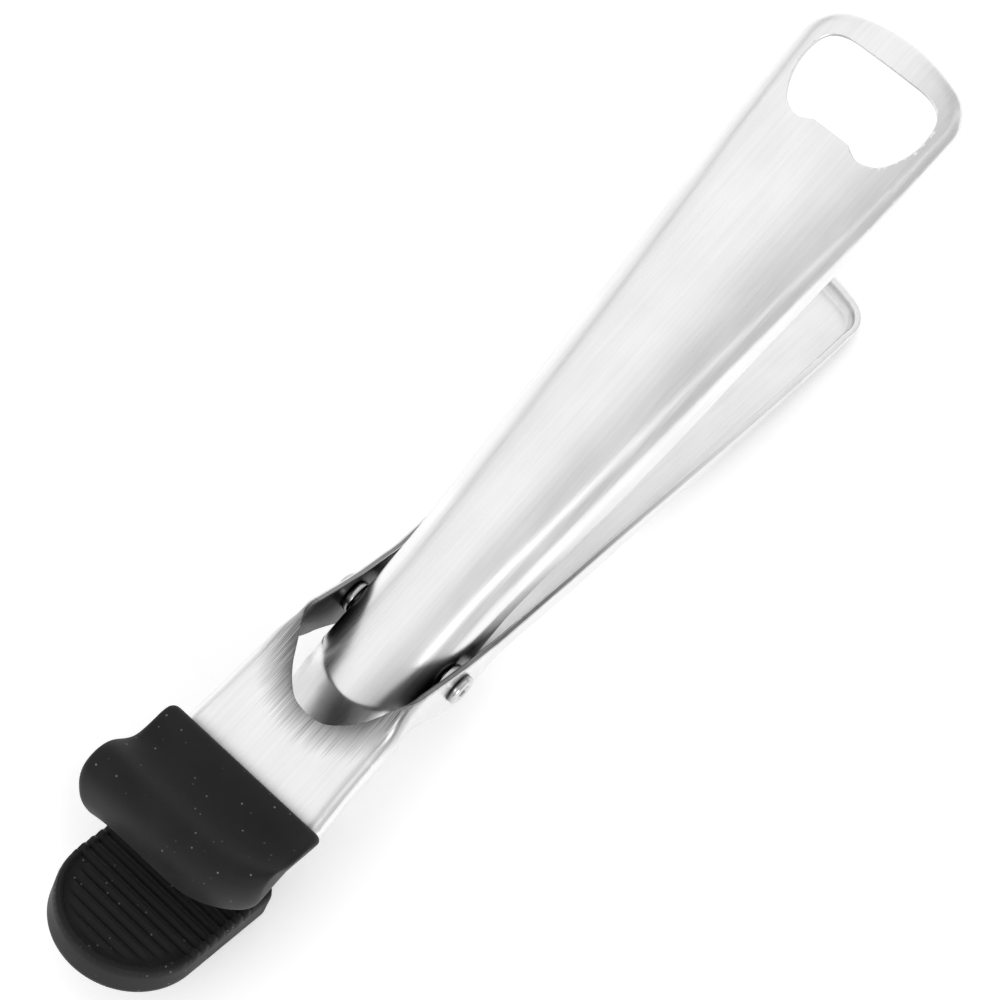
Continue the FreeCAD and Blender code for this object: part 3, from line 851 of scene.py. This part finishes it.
def loft(rings):
    """Skin over closed rings of the same number of points, with its ends filled."""
    bm = bmesh.new()
    verts = [bm.verts.new(p) for p in rings[0]]
    edges = [bm.edges.new((a, b)) for a, b in zip(verts, verts[1:] + verts[:1])]
    first = edges
    for ring in rings[1:]:
        made = bmesh.ops.extrude_edge_only(bm, edges=edges)["geom"]
        new_edges = [g for g in made if isinstance(g, bmesh.types.BMEdge)]
        new_verts = [g for g in made if isinstance(g, bmesh.types.BMVert)]
        place = {tuple(round(c, 6) for c in v.co): v for v in new_verts}
        fresh = [place[tuple(round(c, 6) for c in v.co)] for v in verts]
        for v, p in zip(fresh, ring):
            v.co = p
        verts = fresh
        edges = [e for e in new_edges if e.verts[0] in fresh and e.verts[1] in fresh]
    for loop in (first, edges):
        bmesh.ops.holes_fill(bm, edges=loop, sides=0)
    bmesh.ops.recalc_face_normals(bm, faces=bm.faces[:])
    return bm


COVER_PROFILE = [(-38.6, 3.6), (-38.6, 6.4), (-38.7, 9.2), (-39.2, 10.5), (-40.6, 11.1), (-43.0, 11.0),
                 (-45.6, 11.0), (-47.8, 11.8), (-49.7, 13.6), (-51.4, 15.7), (-53.1, 17.4), (-54.9, 18.2),
                 (-56.8, 17.9), (-58.5, 16.6), (-59.9, 14.4), (-60.8, 11.4), (-61.3, 8.0), (-61.2, 5.0),
                 (-60.7, 3.4), (-59.4, 2.7), (-55.0, 2.4), (-50.0, 2.2), (-44.0, 2.1), (-40.6, 2.2),
                 (-39.2, 2.6)]


def cover_ring(y):
    """The upper cover's section at y: its front draws back towards the sides."""
    reach = abs(y) / COVER_HALF
    front = 1.0 - (FAR_SWEEP * reach ** 5 if y > 0 else NEAR_SWEEP * reach ** 3)
    edge = max(0.0, abs(y) - COVER_HALF + COVER_EDGE) / COVER_EDGE
    inset = COVER_EDGE * (1 - math.sqrt(max(0.0, 1 - min(1.0, edge) ** 2)))
    middle = Vector((-48.0, 7.0))
    ring = []
    for x, z in COVER_PROFILE:
        lift = FAR_RISE * smooth_step(0.6, 1.0, reach) * smooth_step(12.0, 17.0, z)
        if y < 0:
            lift = 2.0 * smooth_step(0.3, 1.0, reach) * (1 - smooth_step(2.0, 6.0, z))
            if VALLEY[0] < x < VALLEY[1] and z > 8:
                lift = VALLEY_FADE * smooth_step(0.7, 1.0, reach) * math.sin(
                    HALF_TURN * (x - VALLEY[0]) / (VALLEY[1] - VALLEY[0]))
        spot = Vector((COVER_BACK + (x - COVER_BACK) * front, z + lift))
        away = spot - middle
        spot = middle + away * (1 - inset / max(6.0, away.length))
        narrowing = 1.0 - COVER_TAPER * (1 - smooth_step(2.0, 10.0, spot.y))
        if y > 0:
            narrowing += FAR_BULGE * smooth_step(11.0, 16.0, spot.y)
        ring.append((spot.x, y * narrowing, spot.y))
    return ring


def build_upper_cover(material):
    steps = [-1.0, -0.995, -0.975, -0.94, -0.9, -0.84, -0.74, -0.6, -0.45, -0.3, -0.15, 0.0]
    steps += [-s for s in reversed(steps[:-1])]
    bm = loft([cover_ring(s * COVER_HALF) for s in steps])
    piece = add_piece(bm, "upper_jaw_sleeve", OUTER_ARM, material, ["upper_jaw_cover"])
    finer = piece.modifiers.new("finer", "SUBSURF")
    finer.levels = 2
    finer.render_levels = 2


def build_lower_cover(material):
    """Drawn lying flat with its tip's centre at the origin, then tilted to the jaw's slope."""
    length = (PAD_BACK - PAD_TIP_CENTRE) / math.cos(JAW_SLOPE)
    corner = 2.0
    half = arc(length - corner, PAD_HALF - corner, corner, 0, 90, 6) + arc(0, 0, PAD_HALF, 90, 180, 40)
    bm = bmesh.new()
    verts = [bm.verts.new((x, y, 0)) for x, y in both_sides(half)]
    face = bm.faces.new(verts)
    if face.normal.z < 0:
        face.normal_flip()
    bm.normal_update()
    steps = 5
    rings = {v: 0 for v in bm.verts}
    for k in range(1, steps + 1):
        before = set(bm.verts)
        bmesh.ops.inset_region(bm, faces=[face], thickness=PAD_ROUND / steps, use_boundary=True,
                               use_even_offset=True)
        for v in bm.verts:
            if v not in before:
                rings[v] = k
    for v, k in rings.items():
        away = 1 - k / steps
        v.co.z = -PAD_ROUND * (1 - math.sqrt(max(0.0, 1 - away * away)))
    cut_lines(bm, 0, spread(-PAD_HALF, length, 0.22))
    cut_lines(bm, 1, spread(-PAD_HALF + 0.4, PAD_HALF - 0.4, 0.8))
    first = -PAD_HALF + RIB_INSET
    for v in bm.verts:
        x, y = v.co.x, v.co.y
        place = (x - first) / RIB_PITCH
        if place < -0.5 or place > RIBS - 0.5:
            continue
        wave = 0.5 + 0.5 * math.cos(2 * HALF_TURN * place)
        reach = PAD_HALF + 2
        if x < -1.5:
            reach = math.sqrt(max(0.5, (PAD_HALF - 3.0) ** 2 - x * x))
        mask = 1 - smooth_step(reach - 0.9, reach + 0.1, abs(y))
        v.co.z += RIB_TALL * (wave ** 0.8 - 0.35) * mask
    border = [e for e in bm.edges if e.is_boundary]
    for fall in (0.8, 2.2, 3.4, PAD_THICK - 1.2, PAD_THICK - 0.35):
        made = bmesh.ops.extrude_edge_only(bm, edges=border)["geom"]
        border = [g for g in made if isinstance(g, bmesh.types.BMEdge)
                  and all(v in made for v in g.verts)]
        for v in [g for g in made if isinstance(g, bmesh.types.BMVert)]:
            v.co.z = -PAD_ROUND - (PAD_THICK - PAD_ROUND) * fall / PAD_THICK
    made = bmesh.ops.extrude_edge_only(bm, edges=border)["geom"]
    border = [g for g in made if isinstance(g, bmesh.types.BMEdge) and all(v in made for v in g.verts)]
    for v in [g for g in made if isinstance(g, bmesh.types.BMVert)]:
        v.co.x = min(v.co.x, length - UNDER_EDGE)
        v.co.xy = v.co.xy - v.co.xy.normalized() * UNDER_EDGE
        v.co.z = -PAD_THICK
    bmesh.ops.holes_fill(bm, edges=border, sides=0)
    bmesh.ops.recalc_face_normals(bm, faces=bm.faces[:])
    # the pad's top face stands PAD_LIFT above the jaw's own steel
    knee = Vector((KNEE[0], 0, KNEE[1]))
    along = Vector((-math.cos(JAW_SLOPE), 0, math.sin(JAW_SLOPE)))
    up = Vector((math.sin(JAW_SLOPE), 0, math.cos(JAW_SLOPE)))
    run = (knee.x - PAD_TIP_CENTRE) / math.cos(JAW_SLOPE)
    place = knee + along * run + up * PAD_LIFT
    bm.transform(Matrix.Translation(place) @ Matrix.Rotation(JAW_SLOPE, 4, "Y"))
    add_piece(bm, "lower_jaw_pad", INNER_ARM, material, ["lower_jaw_cover"])


# ---------------------------------------------------------------- pivot and spring

def turned_about_y(name, outline, material, node, socket=0.0):
    """A turned part of the pivot from its (radius, y) outline; a socket is pressed to six sides."""
    bm = bmesh.new()
    verts = [bm.verts.new((r, y, 0)) for r, y in outline]
    edges = [bm.edges.new((a, b)) for a, b in zip(verts, verts[1:])]
    bmesh.ops.spin(bm, geom=verts + edges, cent=(0, 0, 0), axis=(0, 1, 0), angle=2 * HALF_TURN,
                   steps=TURNED_SIDES, use_merge=True)
    bmesh.ops.remove_doubles(bm, verts=bm.verts[:], dist=1e-3)
    sixth = HALF_TURN / 3
    for v in bm.verts:
        away = math.hypot(v.co.x, v.co.z)
        if 0.1 < away <= socket + 1e-3:
            turn = math.atan2(v.co.z, v.co.x) % sixth - sixth / 2
            grow = math.cos(sixth / 2) / math.cos(turn)
            v.co.x *= grow
            v.co.z *= grow
    bmesh.ops.recalc_face_normals(bm, faces=bm.faces[:])
    piece = add_piece(bm, name, OUTER_ARM, material, [node])
    weigh_normals(piece)


def head_outline(way, hollow, depth):
    """A button head outside an ear, from its outer rim to the middle of its hollow."""
    top = EAR_FACE + HEAD_TALL
    crown = arc(HEAD - HEAD_ROUND, top - HEAD_ROUND, HEAD_ROUND, 0, 90, 6)
    inside = [(hollow + 0.2, top - 0.02), (hollow, top - 0.15), (hollow, top - depth),
              (0.0, top - depth - 0.25)]
    return [(r, way * y) for r, y in [(HEAD, EAR_FACE)] + crown + inside]


def build_pivot(material):
    barrel = [(0.0, -BARREL_END + 1.0), (BARREL_BORE, -BARREL_END + 0.9), (BARREL_BORE, -BARREL_END),
              (BARREL, -BARREL_END), (BARREL, EAR_FACE)]
    turned_about_y("barrel", barrel + head_outline(1, BARREL_DIMPLE, 0.5), material, "pivot_barrel")
    screw = [(0.0, -BARREL_END + 0.8), (SCREW, -BARREL_END + 0.8), (SCREW, -EAR_FACE)]
    turned_about_y("screw", screw + head_outline(-1, SOCKET, 1.0), material, "pivot_screw", SOCKET)
    low, high = LUG_FACE + SPACER_GAP, EAR_FACE - SHEET - SPACER_GAP
    soft = 0.25
    for way, name, node in ((1, "left_washer", "left_spacer"), (-1, "right_washer", "right_spacer")):
        outline = [(SPACER_BORE, low), (SPACER - soft, low), (SPACER, low + soft), (SPACER, high - soft),
                   (SPACER - soft, high), (SPACER_BORE, high), (SPACER_BORE, low)]
        turned_about_y(name, [(r, way * y) for r, y in outline], material, node)


def wire_end(bm, loop, run, length):
    """Draws a wire on from an open loop in a straight leg with a softly rounded tip."""
    ring = loop
    for step, size in ((length - 0.5, 1.0), (0.3, 0.92), (0.2, 0.6)):
        made = bmesh.ops.extrude_edge_only(bm, edges=ring)["geom"]
        ring = [g for g in made if isinstance(g, bmesh.types.BMEdge) and all(v in made for v in g.verts)]
        verts = [g for g in made if isinstance(g, bmesh.types.BMVert)]
        middle = sum((v.co for v in verts), Vector()) / len(verts)
        for v in verts:
            v.co = middle + (v.co - middle) * size + run * step
    bmesh.ops.holes_fill(bm, edges=ring, sides=0)


def leg_run(tilt):
    return Vector((math.cos(tilt), 0, math.sin(tilt)))


def build_spring(material):
    """Close turns round the barrel; each end runs straight out under its handle."""
    bm = bmesh.new()
    section = bmesh.ops.create_circle(bm, segments=14, radius=WIRE)["verts"]
    half = COIL_TURNS * COIL_PITCH / 2
    run = leg_run(LOWER_LEG)
    start = Vector((run.z, 0, -run.x)) * COIL
    across = Vector((-run.z, 0, run.x))
    for v in section:
        v.co = start + Vector((0, half, 0)) + across * v.co.x + Vector((0, v.co.y, 0))
    first = bm.edges[:]
    turns = COIL_TURNS + COIL_EXTRA
    steps = round(turns * 36)
    slope = -COIL_TURNS * COIL_PITCH / steps
    made = bmesh.ops.spin(bm, geom=bm.verts[:] + bm.edges[:], cent=(0, 0, 0), axis=(0, 1, 0),
                          dvec=(0, slope, 0), angle=turns * 2 * HALF_TURN, steps=steps)["geom_last"]
    wire_end(bm, first, run, LEG_LENGTH)
    bmesh.ops.holes_fill(bm, edges=[g for g in made if isinstance(g, bmesh.types.BMEdge)], sides=0)
    bmesh.ops.recalc_face_normals(bm, faces=bm.faces[:])
    add_piece(bm, "spring_coil", OUTER_ARM, material, ["torsion_spring"])

    bm = bmesh.new()
    section = bmesh.ops.create_circle(bm, segments=14, radius=WIRE * 0.99)["verts"]
    run = leg_run(UPPER_LEG)
    start = Vector((-run.z, 0, run.x)) * COIL
    across = Vector((-run.z, 0, run.x))
    for v in section:
        v.co = start + Vector((0, -half, 0)) + across * v.co.x + Vector((0, v.co.y, 0)) - run * 0.4
    wire_end(bm, bm.edges[:], run, LEG_LENGTH + 0.4)
    border = [e for e in bm.edges if e.is_boundary]
    bmesh.ops.holes_fill(bm, edges=border, sides=0)
    bmesh.ops.recalc_face_normals(bm, faces=bm.faces[:])
    add_piece(bm, "spring_upper_leg", INNER_ARM, material)


# ---------------------------------------------------------------- camera, light, floor

def build_camera():
    data = bpy.data.cameras.new("camera")
    data.lens = LENS
    data.clip_start = 0.01
    camera = bpy.data.objects.new("camera", data)
    bpy.context.scene.collection.objects.link(camera)
    back = Vector(CAMERA_BACK)
    up = Vector(CAMERA_UP)
    right = up.cross(back)
    turn = Matrix((right, up, back)).transposed().to_4x4()
    place = Vector(CAMERA_PLACE) * MM + PIVOT
    camera.matrix_world = Matrix.Translation(place) @ turn
    bpy.context.scene.camera = camera


def area_light(name, place, target, size, power):
    data = bpy.data.lights.new(name, "AREA")
    data.shape = "RECTANGLE"
    data.size, data.size_y = size
    data.energy = power
    light = bpy.data.objects.new(name, data)
    light.location = place
    light.rotation_euler = (Vector(target) - Vector(place)).to_track_quat("-Z", "Y").to_euler()
    bpy.context.scene.collection.objects.link(light)


def build_studio():
    scene = bpy.context.scene
    scene.view_settings.view_transform = "Standard"
    bm = bmesh.new()
    bmesh.ops.create_grid(bm, x_segments=1, y_segments=1, size=3.0)
    mesh = bpy.data.meshes.new("floor")
    bm.to_mesh(mesh)
    bm.free()
    floor = bpy.data.objects.new("floor", mesh)
    scene.collection.objects.link(floor)
    floor.location.z = CAD_BOX[0][2]
    material, nodes, links, shader = new_material("pale_floor")
    shader.inputs["Base Color"].default_value = (0.92, 0.92, 0.92, 1)
    shader.inputs["Roughness"].default_value = 0.9
    shader.inputs["Emission Color"].default_value = (1, 1, 1, 1)
    shader.inputs["Emission Strength"].default_value = 0.3
    mesh.materials.append(material)
    world = bpy.data.worlds.new("studio")
    scene.world = world
    world.use_nodes = True
    nodes, links = world.node_tree.nodes, world.node_tree.links
    coords = nodes.new("ShaderNodeTexCoord")
    split = nodes.new("ShaderNodeSeparateXYZ")
    links.new(coords.outputs["Generated"], split.inputs["Vector"])
    bands = nodes.new("ShaderNodeValToRGB")
    bands.color_ramp.interpolation = "EASE"
    stops = bands.color_ramp.elements
    stops[0].position, stops[1].position = (SKY_BANDS[0][0] + 1) / 2, (SKY_BANDS[1][0] + 1) / 2
    for place, _ in SKY_BANDS[2:]:
        stops.new((place + 1) / 2)
    for stop, (_, shade) in zip(stops, SKY_BANDS):
        stop.color = (shade, shade, shade, 1)
    links.new(ramp(nodes, links, split.outputs["Y"], 0, 1, -1, 1), bands.inputs["Fac"])
    links.new(bands.outputs["Color"], nodes["Background"].inputs["Color"])
    nodes["Background"].inputs["Strength"].default_value = 1.0
    area_light("front_fill", (-1.0, -1.2, 0.9), (0, 0, 0.0), (0.6, 0.6), 9)


def main():
    upper_steel = brushed_steel("brushed_upper_handle", (0.6, 0.6))
    lower_steel = brushed_steel("brushed_lower_handle", (0.3, 0.9), (-12.0, 11.6, 6.0))
    dark = silicone("black_silicone")
    build_inner_lever(upper_steel)
    build_outer_lever(lower_steel)
    build_upper_cover(dark)
    build_lower_cover(dark)
    build_pivot(turned_steel("pivot_steel"))
    build_spring(spring_wire("spring_wire"))
    build_camera()
    build_studio()


main()
